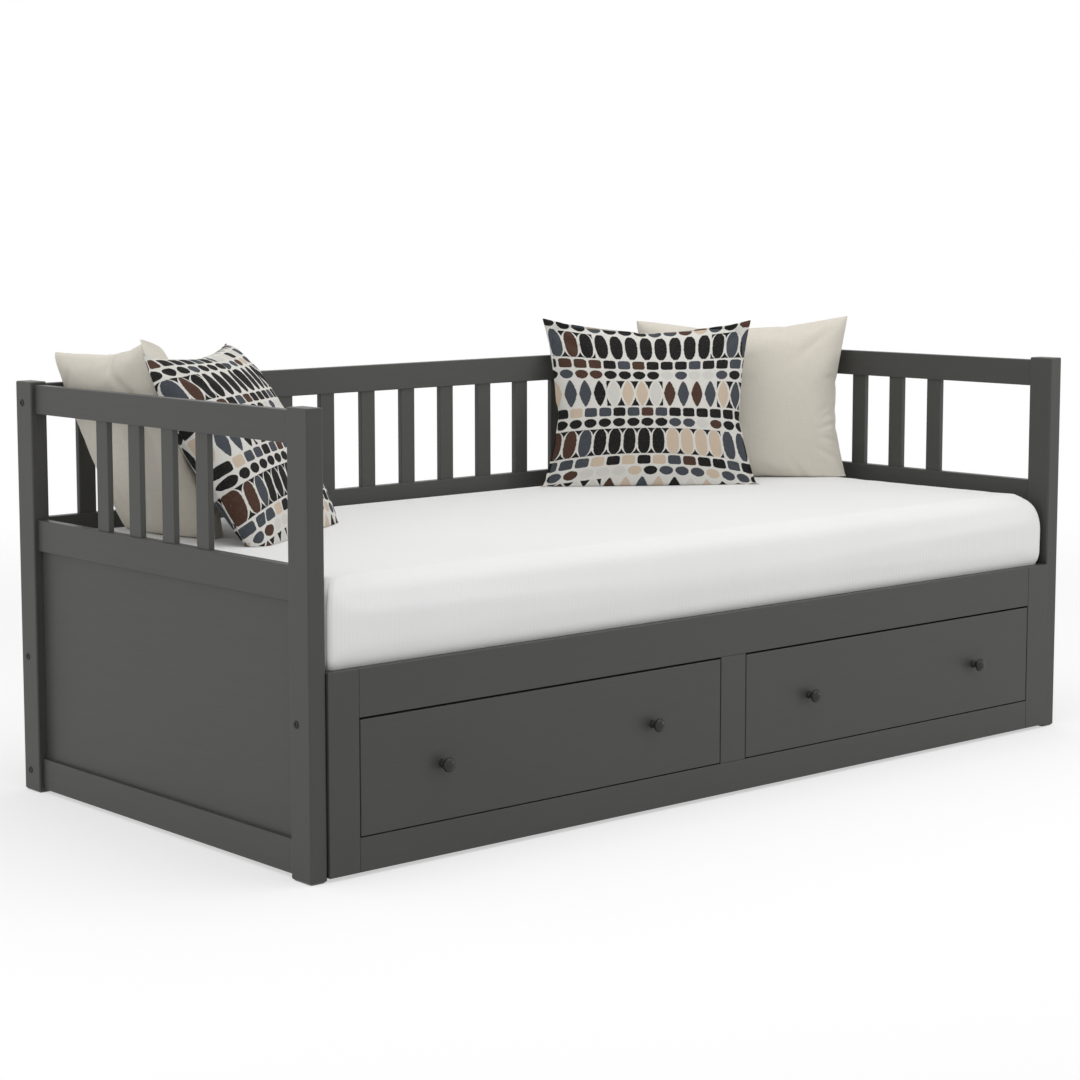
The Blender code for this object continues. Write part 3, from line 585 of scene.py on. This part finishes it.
def simulate(item, frames, pressure, stiffness, bending):
    """Inflate a closed mesh as cloth without gravity and return where its points go."""
    cloth = item.modifiers.new("Inflated", "CLOTH")
    settings = cloth.settings
    settings.quality = 5
    settings.mass = 0.25
    settings.tension_stiffness = stiffness
    settings.compression_stiffness = stiffness
    settings.shear_stiffness = stiffness / 3
    settings.bending_stiffness = bending
    settings.tension_damping = 8
    settings.compression_damping = 8
    settings.air_damping = 4
    settings.use_pressure = True
    settings.uniform_pressure_force = pressure
    settings.effector_weights.gravity = 0
    cloth.collision_settings.use_collision = False
    cloth.point_cache.frame_start = 1
    cloth.point_cache.frame_end = frames
    scene = bpy.context.scene
    for step in range(1, frames + 1):
        scene.frame_set(step)
    view = bpy.context.evaluated_depsgraph_get()
    points = points_of(item.evaluated_get(view).data)
    item.modifiers.remove(cloth)
    scene.frame_set(1)
    return points


def capped(moves, limit):
    """Return moves shortened to a limit where they are longer."""
    length = np.linalg.norm(moves, axis=1, keepdims=True)
    return moves * np.minimum(1.0, limit / np.maximum(length, 1e-9))


def refine(item):
    """Subdivide a soft piece once."""
    smooth = item.modifiers.new("Soft", "SUBSURF")
    smooth.levels = 1
    smooth.render_levels = 1


# How near to a plane cloth begins to be pressed, and how a wall gives way above the rails:
# from which height over them, over what height and by how much
SOFTNESS = 0.005
GIVES_WAY_ABOVE = 0.005
GIVES_WAY_OVER = 0.04
WALL_ROOM = 0.02


def press(points, planes):
    """Move points out of planes, each (point, normal, room), that they near or lie behind.

    Near a plane the distance to it falls off exponentially and never reaches zero. Above
    the bed's rails nothing stands there, so a wall gives way by its room.
    """
    above = np.clip((points[:, 2] - RAIL_TOP - GIVES_WAY_ABOVE) / GIVES_WAY_OVER, 0, 1)
    for origin, normal, room in planes:
        distance = (points - origin) @ normal + above * room
        near = distance < SOFTNESS
        pressed = SOFTNESS * np.exp(np.minimum(distance, SOFTNESS) / SOFTNESS - 1)
        points = points + np.where(near, pressed - distance, 0.0)[:, None] * normal
    for origin, normal, room in planes:
        distance = (points - origin) @ normal + above * room
        points = points - np.minimum(0.0, distance)[:, None] * normal
    return points


def facing(heading, lean):
    """Return the turn of an upright sheet whose front looks along a heading and leans back."""
    turn = Matrix.Rotation(math.radians(heading), 4, "Z")
    return turn @ Matrix.Rotation(math.radians(90 - lean), 4, "X")


# How deep a cushion's foot lies in the mattress's top, the share by which its sides draw
# in, its grid's cells along a side, and the power of its corners' rounding
CUSHION_SINK = 0.056
CUSHION_DRAW_SHARE = 0.14
CUSHION_CELLS = 72
TIP_POWER = 7

# The flat panels: how much larger they are than the cushion, and their rise
SEWN_SHARE = 1.04
PANEL_LIFT = 0.004
PANEL_UNEVENNESS = 0.12

# The inflation, the furthest it moves a cushion's plain form, and its shares across,
# along and out of the cushion
INFLATION = {"frames": 24, "pressure": 4.0, "stiffness": 14.0, "bending": 0.3}
INFLATION_REACH = 0.024
INFLATION_SHARES = (0.40, 0.40, 0.85)

# The small waves beside the seams: their height, and over which share they fade
SEAM_WAVE = 0.0011
SEAM_WAVE_FADE = 0.07

# Each cushion: how far its foot's middle lies from the end and the back; its heading, lean
# and roll in degrees; its size, and by what share it is wider at the foot; how far its
# front and back swell, and by which powers; what share of the front's swell is lost at the
# foot; where in its lower half the sides are as wide as at the foot; by what share of the
# half size each corner is rounded off, upper left, upper right, lower left and lower right
# as seen from the front; and its folds, as (face, u, v, angle, length, width, depth)
CUSHIONS = {
    "plain_left": {
        "from_end": 0.204, "from_back": 0.200, "turns": (94, 19, -8),
        "width": 0.362, "height": 0.452, "spread": -0.24,
        "swells": (0.100, 0.055), "powers": (0.29, 0.45), "taper": 0.38, "foot": 1.0,
        "tips": (0.008, 0.0, 0.08, 0.06), "seed": 11,
        "folds": (
            (-1, -0.55, 0.55, 42, 0.42, 0.07, 0.0040),
            (-1, -0.72, 0.30, 62, 0.30, 0.06, 0.0030),
            (-1, -0.10, 0.10, 80, 0.50, 0.10, 0.0030),
            (-1, 0.45, -0.30, 70, 0.45, 0.09, 0.0030),
            (-1, 0.78, 0.66, 130, 0.28, 0.06, 0.0030),
        ),
    },
    "patterned_left": {
        "from_end": 0.360, "from_back": 0.377, "turns": (31.8, 33.8, 0.5),
        "width": 0.485, "height": 0.485, "spread": -0.06,
        "swells": (0.115, 0.0725), "powers": (0.29, 0.40), "taper": 0.30, "foot": 1.0,
        "tips": (0.010, 0.0, 0.20, 0.24), "seed": 21,
        "folds": (
            (-1, -0.74, 0.70, 130, 0.26, 0.06, 0.0035),
            (1, -0.70, 0.66, -45, 0.30, 0.07, 0.0040),
            (1, 0.74, 0.70, 45, 0.30, 0.07, 0.0040),
            (1, 0.05, 0.74, 84, 0.22, 0.09, 0.0045),
            (1, -0.68, -0.60, 40, 0.26, 0.07, 0.0035),
        ),
    },
    "plain_right": {
        "from_end": 0.203, "from_back": 0.206, "turns": (-47, 8, 1),
        "width": 0.497, "height": 0.424, "spread": -0.035,
        "swells": (0.0725, 0.0725), "powers": (0.45, 0.45), "taper": 0.0, "foot": 0.78,
        "tips": (0.030, 0.012, 0.03, 0.03), "seed": 12,
        "folds": (
            (1, 0.88, -0.22, 20, 0.11, 0.036, 0.0036),
            (1, 0.90, -0.38, -8, 0.10, 0.034, 0.0034),
            (1, 0.87, -0.55, -28, 0.12, 0.042, 0.0032),
            (1, 0.86, -0.02, 38, 0.11, 0.040, 0.0024),
            (1, 0.70, 0.70, 48, 0.26, 0.07, 0.0026),
            (1, 0.60, -0.86, -60, 0.20, 0.06, 0.0030),
        ),
    },
    "patterned_right": {
        "from_end": 0.509, "from_back": 0.220, "turns": (-35, 15, -1),
        "width": 0.478, "height": 0.437, "spread": 0.055,
        "swells": (0.0725, 0.0725), "powers": (0.45, 0.45), "taper": 0.0, "foot": 0.80,
        "tips": (0.0, 0.0, 0.0, 0.02), "seed": 22,
        "folds": (
            (1, -0.76, 0.74, -45, 0.26, 0.06, 0.0036),
            (1, 0.76, 0.74, 45, 0.26, 0.06, 0.0036),
            (1, 0.08, 0.80, 88, 0.18, 0.09, 0.0040),
            (1, 0.82, -0.55, -30, 0.18, 0.06, 0.0030),
            (1, -0.80, -0.60, 30, 0.18, 0.06, 0.0030),
        ),
    },
}

# The plane where each end's two cushions meet: how far it lies before the plain one's
# middle, and its heading and lean
TOUCHES = {"left": (0.105, (37, 16)), "right": (0.086, (-51, 0))}


def cushion_place(side, form):
    """Return the matrix of a cushion whose lower edge's middle sinks into the mattress."""
    x = side * (HALF_LENGTH - POST_WIDTH - form["from_end"])
    y = BACK_RAIL_FRONT - form["from_back"] - MIDDLE_DEPTH
    foot = Vector((x, y, MATTRESS_TOP - CUSHION_SINK))
    heading, lean, roll = form["turns"]
    face = facing(heading, lean) @ Matrix.Rotation(math.radians(roll), 4, "Z")
    up = face.col[1].to_3d()
    return np.array(Matrix.Translation(foot + up * (form["height"] / 2)) @ face)


def panel_points(width, height, seed):
    """Return the points of two flat panels sewn at their edges, and each one's map.

    Over the grid shares u and v, from -1 to 1, a panel lies at (u half widths, v half
    heights) and is lifted by a height times (1 - u^2)(1 - v^2), a little unevenly.
    """
    share = np.linspace(-1, 1, CUSHION_CELLS + 1)
    u, v = np.meshgrid(share, share)
    lift = PANEL_LIFT * (1 - u ** 2) * (1 - v ** 2)
    random = np.random.default_rng(seed)
    points, maps = [], []
    for face in (1, -1):
        uneven = np.zeros_like(u)
        for _ in range(10):
            a, b = random.uniform(1, 5, 2)
            phase = random.uniform(0, 2 * np.pi, 2)
            uneven += np.sin(a * np.pi * u + phase[0]) * np.sin(b * np.pi * v + phase[1])
        rise = lift * (1 + PANEL_UNEVENNESS * uneven)
        points.append(np.stack([u * width / 2, v * height / 2, face * rise], axis=-1))
        shift = 0.0 if face > 0 else 3 * width
        maps.append(np.stack([(u + 1) * width / 2 + shift, (v + 1) * height / 2], axis=-1))
    return np.concatenate(points).reshape(-1, 3), np.concatenate(maps).reshape(-1, 2)


def stuffed_form(width, height, u, v, rise, power, foot):
    """Return a cushion's plain form: crowned faces, drawn-in sides, at shares u and v.

    The faces swell by rise times ((1 - u^2)(1 - v^2)) to a power, and each side draws in
    by a share that falls off as 1 - v^2 or 1 - u^2 towards the corners, or towards the
    foot's share of the lower half.
    """
    swell = np.maximum(0.0, (1 - u ** 2) * (1 - v ** 2)) ** power
    reach = np.where(v < 0, np.maximum(v / foot, -1), v)
    x = width / 2 * u * (1 - CUSHION_DRAW_SHARE * (1 - reach ** 2))
    y = height / 2 * v * (1 - CUSHION_DRAW_SHARE * (1 - u ** 2))
    return np.stack([x, y, rise * swell], axis=-1)


def folded(u, v, face, folds):
    """Return how far a face is raised by short folds in its cloth.

    Each fold is (face, u, v, angle, length, width, depth): a valley between two ridges,
    depth (1 - 2 c^2) exp(-a^2 - c^2), where a and c are the distances along and across it
    in lengths and widths. Beside the seams the cloth gathers in small waves.
    """
    rise = np.zeros_like(u)
    for side, at_u, at_v, angle, length, width, depth in folds:
        turn = math.radians(angle)
        along = ((u - at_u) * math.cos(turn) + (v - at_v) * math.sin(turn)) / length
        across = ((v - at_v) * math.cos(turn) - (u - at_u) * math.sin(turn)) / width
        shape = (1 - 2 * across ** 2) * np.exp(-along ** 2 - across ** 2)
        rise -= np.where(face == side, depth * shape, 0.0)
    for edge, run in ((np.abs(u), v), (np.abs(v), u)):
        wave = np.sin(34 * run + 3 * np.sin(5 * run)) * np.exp(-(1 - edge) / SEAM_WAVE_FADE)
        rise += SEAM_WAVE * wave * (1 - edge ** 24)
    return rise * face


def cushion(label, place, planes, material):
    """Make one stuffed cushion: two flat panels inflated as cloth, then pressed in place."""
    form = CUSHIONS[label]
    width, height = form["width"], form["height"]
    points, maps = panel_points(width * SEWN_SHARE, height * SEWN_SHARE, form["seed"])
    side = CUSHION_CELLS + 1
    quads = grid_quads(side, side)
    faces = np.concatenate([quads, quads[:, ::-1] + side * side])
    node = f"cushion_{label}"
    item = piece(f"{node}_cover", points, faces, material, "bed", maps)
    rest = points_of(item.data)
    u, v = (rest[:, :2] / (np.array([width, height]) * (SEWN_SHARE / 2))).T
    downward = ((1 - v) / 2) ** 2
    before, behind = form["swells"]
    is_front = rest[:, 2] > 0
    rise = np.where(is_front, before * (1 - form["taper"] * downward), -behind)
    power = np.where(is_front, *form["powers"])
    shape = stuffed_form(width, height, u, v, rise, power, form["foot"])
    inflated = simulate(item, **INFLATION)
    inflated /= np.ptp(inflated, axis=0)
    inflated[:, :2] *= (width, height)
    inflated[:, 2] *= 2 * np.abs(rise)
    shape = shape + capped(inflated - shape, INFLATION_REACH) * np.array(INFLATION_SHARES)
    shape[:, 0] *= 1 + form["spread"] * downward
    tip = np.choose(np.where(v > 0, 0, 2) + np.where(u < 0, 0, 1), form["tips"])
    shape[:, :2] *= 1 - (np.abs(u * v) ** TIP_POWER * tip)[:, None]
    shape[:, 2] += folded(u, v, np.sign(rest[:, 2]), form["folds"])
    set_points(item, press(shape @ place[:3, :3].T + place[:3, 3], planes))
    refine(item)
    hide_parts(node)


def touch_plane(place, label, side):
    """Return the plane where two cushions meet, seen from before (1) or behind (-1) it."""
    reach, turns = TOUCHES[label]
    normal = np.array(facing(*turns).col[2].to_3d())
    return (place[:3, 3] + normal * (reach + side * SEAT_GAP / 2), normal * side, 0.0)


def cushions():
    """Make the four cushions: a plain one in each rear corner, a patterned one before it."""
    end_x = HALF_LENGTH - POST_WIDTH - SEAT_GAP
    back_y = BACK_RAIL_FRONT - SEAT_GAP - MIDDLE_DEPTH
    bed = (np.array([0, 0, MATTRESS_TOP + SEAT_GAP]), np.array([0.0, 0.0, 1.0]), 0.0)
    rear = (np.array([0, back_y, 0]), np.array([0.0, -1.0, 0.0]), WALL_ROOM)
    for label, side in (("left", -1), ("right", 1)):
        wall = (np.array([side * end_x, 0, 0]), np.array([-side, 0.0, 0.0]), WALL_ROOM)
        behind = cushion_place(side, CUSHIONS[f"plain_{label}"])
        before = cushion_place(side, CUSHIONS[f"patterned_{label}"])
        cushion(f"plain_{label}", behind, [touch_plane(behind, label, -1), wall, rear, bed],
                BEIGE)
        cushion(f"patterned_{label}", before, [touch_plane(behind, label, 1), wall, rear, bed],
                PATTERNED)


# The mattress: how far its ends go into the frame's gap, its grid's counts, its plan's
# corner and its rim, the power of the top's fall over the rim, and its settling as cloth
END_REACH = 0.004
MATTRESS_CELLS = (104, 46)
CORNER_RADIUS = 0.014
RIM_WIDTH = 0.062
RIM_POWER = 2.6
SETTLING = {"frames": 12, "pressure": 1.5, "stiffness": 20.0, "bending": 2.0}
SETTLING_REACH = 0.004

# Its side: how far the foot is tucked in and over which share of the height, from which
# share the shoulder draws in, how far and by which power, and the side's top
TUCK, TUCK_SHARE = 0.0150, 0.22
SHOULDER_FROM, SHOULDER, SHOULDER_POWER = 0.52, 0.036, 2.2
SIDE_TOP_SHARE = 0.975


def mattress_profile():
    """Return the side's outline from the bottom up, as (inset, height) in metres."""
    low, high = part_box("mattress")
    bottom, top = low[2], high[2]
    rise = np.linspace(0, 1, 15)
    tuck = TUCK * (1 - np.minimum(1, rise / TUCK_SHARE)) ** 2
    shoulder = np.clip((rise - SHOULDER_FROM) / (1 - SHOULDER_FROM), 0, 1)
    inset = tuck + SHOULDER * (1 - np.sqrt(np.maximum(0, 1 - shoulder ** SHOULDER_POWER)))
    height = bottom + (top - bottom) * (rise * SIDE_TOP_SHARE)
    return inset, height


def mattress_grid(half):
    """Return a grid over a rectangle, dense in its rim, by its two coordinates."""
    lines = []
    for size, count in zip(half, MATTRESS_CELLS):
        rim = np.linspace(size - RIM_WIDTH, size - CORNER_RADIUS, 5)[:-1]
        corner = np.linspace(size - CORNER_RADIUS, size, 5)
        ends = np.concatenate([rim, corner])
        between = np.linspace(RIM_WIDTH - size, size - RIM_WIDTH, count)[1:-1]
        lines.append(np.concatenate([-ends[::-1], between, ends]))
    return np.stack(np.meshgrid(*lines), axis=-1)


def settle(item, low, high):
    """Let the mattress's cloth swell a little, inside its box."""
    rest = points_of(item.data)
    form = rest + capped(simulate(item, **SETTLING) - rest, SETTLING_REACH)
    set_points(item, np.clip(form, low, high))


def mattress():
    """Make the mattress: a crowned edge, and sides that tuck in at the bottom.

    The top and bottom are grids over a rounded rectangle. In the corners a point's place
    from the inner rectangle keeps its larger share and is shortened to that length, which
    turns squares into discs. The side follows one outline all the way round: at each
    height the inner rectangle is stretched to the outline's width.
    """
    low, high = (np.array(corner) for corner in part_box("mattress"))
    low[0], high[0] = low[0] - END_REACH, high[0] + END_REACH
    centre = (low + high) / 2
    inset, height = mattress_profile()
    edge = inset[-1]
    half = (high - low)[:2] / 2 - edge
    flat = mattress_grid(half)
    rows, columns = flat.shape[:2]
    inner = np.clip(flat, CORNER_RADIUS - half, half - CORNER_RADIUS)
    away = flat - inner
    reach = np.abs(away).max(axis=-1, keepdims=True)
    direction = away / np.maximum(np.linalg.norm(away, axis=-1, keepdims=True), 1e-9)
    plan = inner + direction * reach

    share = np.clip(1 - (half - np.abs(flat)).min(axis=-1) / RIM_WIDTH, 0, 1)
    top = high[2] - (high[2] - height[-1]) * share ** RIM_POWER
    upper = np.dstack([plan, top]).reshape(-1, 3)
    stretch = 1 + (edge - inset)[:, None, None] / (half - CORNER_RADIUS)
    lower = np.dstack([inner * stretch[0] + direction * reach, np.full_like(top, height[0])])
    border = np.concatenate([
        np.arange(columns - 1),
        np.arange(rows - 1) * columns + columns - 1,
        rows * columns - 1 - np.arange(columns - 1),
        (rows - 1 - np.arange(rows - 1)) * columns,
    ])
    outward = direction.reshape(-1, 2)[border] * CORNER_RADIUS
    ring = inner.reshape(-1, 2)[border] * stretch + outward
    side = np.dstack([ring, np.repeat(height[:, None], len(border), axis=1)])
    points = np.concatenate([upper, lower.reshape(-1, 3), side.reshape(-1, 3)])
    points[:, :2] += centre[:2]

    quads = grid_quads(rows, columns)
    side_quads = grid_quads(len(height), len(border), wrap=True)
    faces = np.concatenate([quads, quads[:, ::-1] + rows * columns,
                            side_quads + 2 * rows * columns])
    rim = plan.reshape(-1, 2)[border]
    step = np.linalg.norm(np.diff(rim, axis=0, append=rim[:1]), axis=1)
    along = np.concatenate([[0], np.cumsum(step)[:-1]])
    maps = np.zeros((len(points), 2))
    maps[:, 1] = points[:, 2] - low[2]
    maps[2 * rows * columns:, 0] = np.tile(along, len(height))
    item = piece("mattress_cover", points, faces, TICKING, "bed", maps)
    settle(item, low, high)
    refine(item)
    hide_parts("mattress")


# The photograph's camera: where it stands, its turns in radians, and its lens
CAMERA_PLACE = (-3.3894, -3.6776, 1.1123)
CAMERA_YAW, CAMERA_PITCH, CAMERA_ROLL = 0.6821, 0.1144, -0.006
LENS_LENGTH = 82.66
SENSOR_WIDTH = 36.0
LENS_SHIFT = (0.1136, -0.0406)


def camera():
    """Set the camera where the photograph was taken from."""
    level = Vector((math.sin(CAMERA_YAW), math.cos(CAMERA_YAW), 0)) * math.cos(CAMERA_PITCH)
    ahead = level - Vector((0, 0, math.sin(CAMERA_PITCH)))
    right = Vector((math.cos(CAMERA_YAW), -math.sin(CAMERA_YAW), 0))
    up = right.cross(ahead)
    across = right * math.cos(CAMERA_ROLL) + up * math.sin(CAMERA_ROLL)
    above = up * math.cos(CAMERA_ROLL) - right * math.sin(CAMERA_ROLL)
    turn = Matrix((across, above, -ahead)).transposed().to_4x4()
    lens = bpy.data.cameras.new("camera")
    lens.lens = LENS_LENGTH
    lens.sensor_width = SENSOR_WIDTH
    lens.shift_x, lens.shift_y = LENS_SHIFT
    item = add_object("camera", lens)
    item.matrix_world = Matrix.Translation(CAMERA_PLACE) @ turn
    bpy.context.scene.camera = item


def seen_directly(finish):
    """Return 1 for rays from the camera or by way of a mirror or glass, else 0."""
    camera_ray = finish.node("ShaderNodeLightPath", {}, {}, "Is Camera Ray")
    node = camera_ray.socket.node
    glossy = Value(finish, node.outputs["Is Glossy Ray"])
    through = Value(finish, node.outputs["Is Transmission Ray"])
    return camera_ray.math("MAXIMUM", glossy).math("MAXIMUM", through)


# The studio: how strongly the room lights the bed, the floor's own colour and glow near
# the bed, from where to where it turns white, and what it sends back to the bed
WHITE = (1, 1, 1, 1)
ROOM_LIGHT = 0.76
FLOOR_COLOUR = (0.44, 0.44, 0.44, 1)
FLOOR_GLOW = 0.53
FLOOR_FADE = (1.9, 4.5)
FLOOR_RETURN = (0.80, 0.80, 0.80, 1)
FLOOR_REACH = 14.0


def backdrop():
    """Light the set from all round, behind a white background."""
    world = bpy.data.worlds.new("studio")
    bpy.context.scene.world = world
    finish = Finish("studio", world)
    room = finish.node("ShaderNodeBackground", {}, {"Color": WHITE, "Strength": ROOM_LIGHT})
    white = finish.node("ShaderNodeBackground", {}, {"Color": WHITE, "Strength": 1.0})
    both = finish.node("ShaderNodeMixShader", {}, {0: seen_directly(finish), 1: room, 2: white})
    finish.node("ShaderNodeOutputWorld", {}, {"Surface": both})


def floor():
    """Lay a floor that looks white where nothing shades it, and far from the bed."""
    finish = Finish("floor")
    x, y, _ = finish.split(finish.point())
    far = (x * x + y * y).math("SQRT").step(*FLOOR_FADE)
    lit = finish.node("ShaderNodeBsdfDiffuse", {}, {"Color": FLOOR_COLOUR})
    glow = finish.node("ShaderNodeEmission", {}, {"Color": WHITE, "Strength": FLOOR_GLOW})
    near = finish.node("ShaderNodeAddShader", {}, {0: lit, 1: glow})
    white = finish.node("ShaderNodeEmission", {}, {"Color": WHITE, "Strength": 1.0})
    shown = finish.node("ShaderNodeMixShader", {}, {0: far, 1: near, 2: white})
    pale = finish.node("ShaderNodeBsdfDiffuse", {}, {"Color": FLOOR_RETURN})
    both = finish.node("ShaderNodeMixShader", {}, {0: seen_directly(finish), 1: pale, 2: shown})
    finish.node("ShaderNodeOutputMaterial", {}, {"Surface": both})
    mesh = bpy.data.meshes.new("floor")
    reach = FLOOR_REACH
    corners = [(-reach, -reach, 0), (reach, -reach, 0), (reach, reach, 0), (-reach, reach, 0)]
    mesh.from_pydata(corners, [], [(0, 1, 2, 3)])
    mesh.materials.append(finish.material)
    item = add_object("floor", mesh)


def softbox(name, place, target, size, power):
    """Hang a large soft lamp that faces a point."""
    lamp = bpy.data.lights.new(name, "AREA")
    lamp.shape = "RECTANGLE"
    lamp.size, lamp.size_y = size
    lamp.energy = power
    item = add_object(name, lamp)
    turn = (Vector(place) - Vector(target)).to_track_quat("Z", "Y").to_matrix().to_4x4()
    item.matrix_world = Matrix.Translation(place) @ turn


def light():
    """Hang the studio lamps: one wide above, one to the front right, one low on the left."""
    softbox("overhead", (0.1, -0.6, 3.2), (0, 0, 0.3), (3.6, 2.6), 42)
    softbox("front_right", (3.1, -3.1, 1.5), (0, 0, 0.4), (1.2, 0.9), 16)
    softbox("left", (-3.3, 0.1, 0.9), (-0.9, 0.1, 0.3), (2.0, 1.0), 11)


dress_boards()
knobs()
bolts()
mattress()
cushions()
camera()
backdrop()
floor()
light()
bpy.context.scene.view_settings.view_transform = "Standard"
